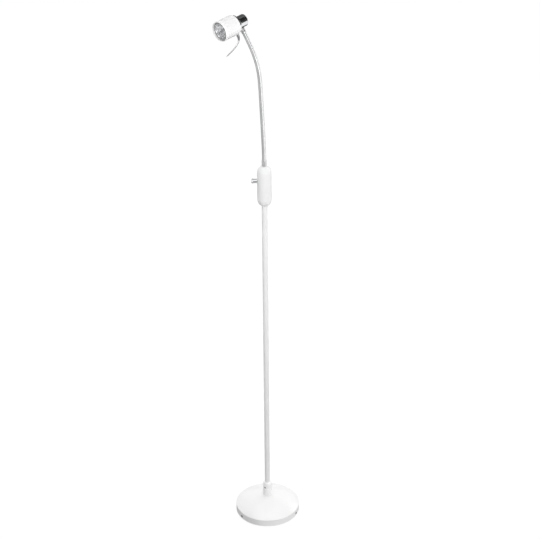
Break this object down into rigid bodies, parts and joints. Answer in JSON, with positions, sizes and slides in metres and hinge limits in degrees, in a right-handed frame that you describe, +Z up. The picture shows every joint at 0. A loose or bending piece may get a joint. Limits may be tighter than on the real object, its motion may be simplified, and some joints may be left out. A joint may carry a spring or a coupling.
{
  "type": "gooseneck floor lamp",
  "caption": "Slim floor lamp with a round domed base, a capsule switch housing with a side knob, a flexible neck and a small swivelling spot head with an aiming handle.",
  "frame": {"origin": "centre of the base on the floor", "axes": "+Z up along the pole; +X the way the neck leans; the head looks mostly towards +Y, and the mains lead enters the base at -Y"},
  "size_m": [0.222, 0.202, 1.6389],
  "materials": {
    "felt": "matte",
    "iron": "rough",
    "white_coat": "semi-gloss",
    "white_plastic": "semi-gloss",
    "black_screw": "satin",
    "black_rubber": "matte",
    "brass": "satin",
    "steel": "satin",
    "cable": "matte",
    "switch_body": "matte",
    "chrome": "polished",
    "ceramic": "satin",
    "reflector": "faceted mirror",
    "glass": "clear"
  },
  "bodies": {
    "stand": {"felt_pad": "felt", "base_weight": "iron", "base_cover": "white_coat", "rim_screws": "black_screw", "cord_grommet": "black_rubber", "threaded_nipple": "brass", "base_washer": "steel", "base_nut": "brass", "pole_socket": "white_coat", "locking_collar": "white_coat", "collar_set_screw": "black_screw", "pole_tube": "white_coat", "pole_lead": "cable", "pole_lock_nut": "steel", "housing_front": "white_plastic", "housing_rear": "white_plastic", "housing_screws": "steel", "rotary_switch": "switch_body", "switch_nut": "steel", "neck_lock_nut": "steel", "neck_lead": "cable", "neck_lower_ferrule": "chrome", "neck_stub": "chrome"},
    "knob": {"switch_knob": "chrome", "switch_shaft": "steel", "knob_grub_screw": "black_screw"},
    "neck_01": {"neck_link_01": "chrome"},
    "neck_02": {"neck_link_02": "chrome"},
    "neck_03": {"neck_link_03": "chrome"},
    "neck_04": {"neck_link_04": "chrome"},
    "neck_05": {"neck_link_05": "chrome"},
    "neck_06": {"neck_link_06": "chrome"},
    "neck_07": {"neck_link_07": "chrome"},
    "neck_08": {"neck_link_08": "chrome"},
    "neck_09": {"neck_link_09": "chrome"},
    "neck_10": {"neck_link_10": "chrome"},
    "neck_11": {"neck_link_11": "chrome"},
    "neck_12": {"neck_link_12": "chrome", "neck_upper_ferrule": "chrome", "swivel_washer": "steel", "swivel_nut": "brass"},
    "head": {"head_barrel": "chrome", "barrel_end_cap": "chrome", "shade_rear_plate": "chrome", "shade_tube": "white_coat", "shade_bezel": "white_coat", "shade_screws": "steel", "holder_bracket": "steel", "lamp_holder": "ceramic", "lamp_pins": "steel", "lamp_reflector": "reflector", "lamp_burner": "glass", "lamp_cover_glass": "glass", "retaining_ring": "steel", "aiming_handle": "chrome", "handle_stud": "steel", "handle_nut": "steel"}
  },
  "joints": [
    {"name": "knob_turn", "type": "hinge", "parent": "stand", "child": "knob", "pos_m": [0.01658, 0.01118, 1.154], "axis": [0.829, 0.5592, 0], "range_deg": [0, 270]},
    {"name": "neck_bend_01", "type": "hinge", "parent": "stand", "child": "neck_01", "pos_m": [0, 0, 1.236], "axis": [0.002, 1, 0.001], "range_deg": [-18, 18]},
    {"name": "neck_side_02", "type": "hinge", "parent": "neck_01", "child": "neck_02", "pos_m": [0.00112, 0, 1.26798], "axis": [-0.9992, 0, 0.0393], "range_deg": [-14, 14]},
    {"name": "neck_bend_03", "type": "hinge", "parent": "neck_02", "child": "neck_03", "pos_m": [0.00251, 0, 1.29995], "axis": [0.002, 1, 0.001], "range_deg": [-18, 18]},
    {"name": "neck_side_04", "type": "hinge", "parent": "neck_03", "child": "neck_04", "pos_m": [0.00419, 0, 1.33191], "axis": [-0.9986, 0, 0.0523], "range_deg": [-14, 14]},
    {"name": "neck_bend_05", "type": "hinge", "parent": "neck_04", "child": "neck_05", "pos_m": [0.00586, 0, 1.36386], "axis": [0.002, 1, 0.001], "range_deg": [-18, 18]},
    {"name": "neck_side_06", "type": "hinge", "parent": "neck_05", "child": "neck_06", "pos_m": [0.00754, 0, 1.39582], "axis": [-0.9986, 0, 0.0523], "range_deg": [-14, 14]},
    {"name": "neck_bend_07", "type": "hinge", "parent": "neck_06", "child": "neck_07", "pos_m": [0.00921, 0, 1.42778], "axis": [0.002, 1, 0.001], "range_deg": [-18, 18]},
    {"name": "neck_side_08", "type": "hinge", "parent": "neck_07", "child": "neck_08", "pos_m": [0.01144, 0, 1.4597], "axis": [-0.9936, 0, 0.1132], "range_deg": [-14, 14]},
    {"name": "neck_bend_09", "type": "hinge", "parent": "neck_08", "child": "neck_09", "pos_m": [0.01645, 0, 1.4913], "axis": [0.002, 1, 0.001], "range_deg": [-18, 18]},
    {"name": "neck_side_10", "type": "hinge", "parent": "neck_09", "child": "neck_10", "pos_m": [0.02634, 0, 1.52174], "axis": [-0.9272, 0, 0.3746], "range_deg": [-14, 14]},
    {"name": "neck_bend_11", "type": "hinge", "parent": "neck_10", "child": "neck_11", "pos_m": [0.04037, 0, 1.5505], "axis": [0.002, 1, 0.001], "range_deg": [-18, 18]},
    {"name": "neck_side_12", "type": "hinge", "parent": "neck_11", "child": "neck_12", "pos_m": [0.05685, 0, 1.57793], "axis": [-0.8549, 0, 0.5188], "range_deg": [-14, 14]},
    {"name": "head_swivel", "type": "hinge", "parent": "neck_12", "child": "head", "pos_m": [0.07853, 0, 1.61331], "axis": [0.5225, 0, 0.8526], "range_deg": [-165, 165]}
  ],
  "couplings": [
    {"joint": "neck_bend_03", "follows": "neck_bend_01", "ratio": 1},
    {"joint": "neck_side_04", "follows": "neck_side_02", "ratio": 1},
    {"joint": "neck_bend_05", "follows": "neck_bend_01", "ratio": 1},
    {"joint": "neck_side_06", "follows": "neck_side_02", "ratio": 1},
    {"joint": "neck_bend_09", "follows": "neck_bend_07", "ratio": 1},
    {"joint": "neck_side_10", "follows": "neck_side_08", "ratio": 1},
    {"joint": "neck_bend_11", "follows": "neck_bend_07", "ratio": 1},
    {"joint": "neck_side_12", "follows": "neck_side_08", "ratio": 1}
  ]
}
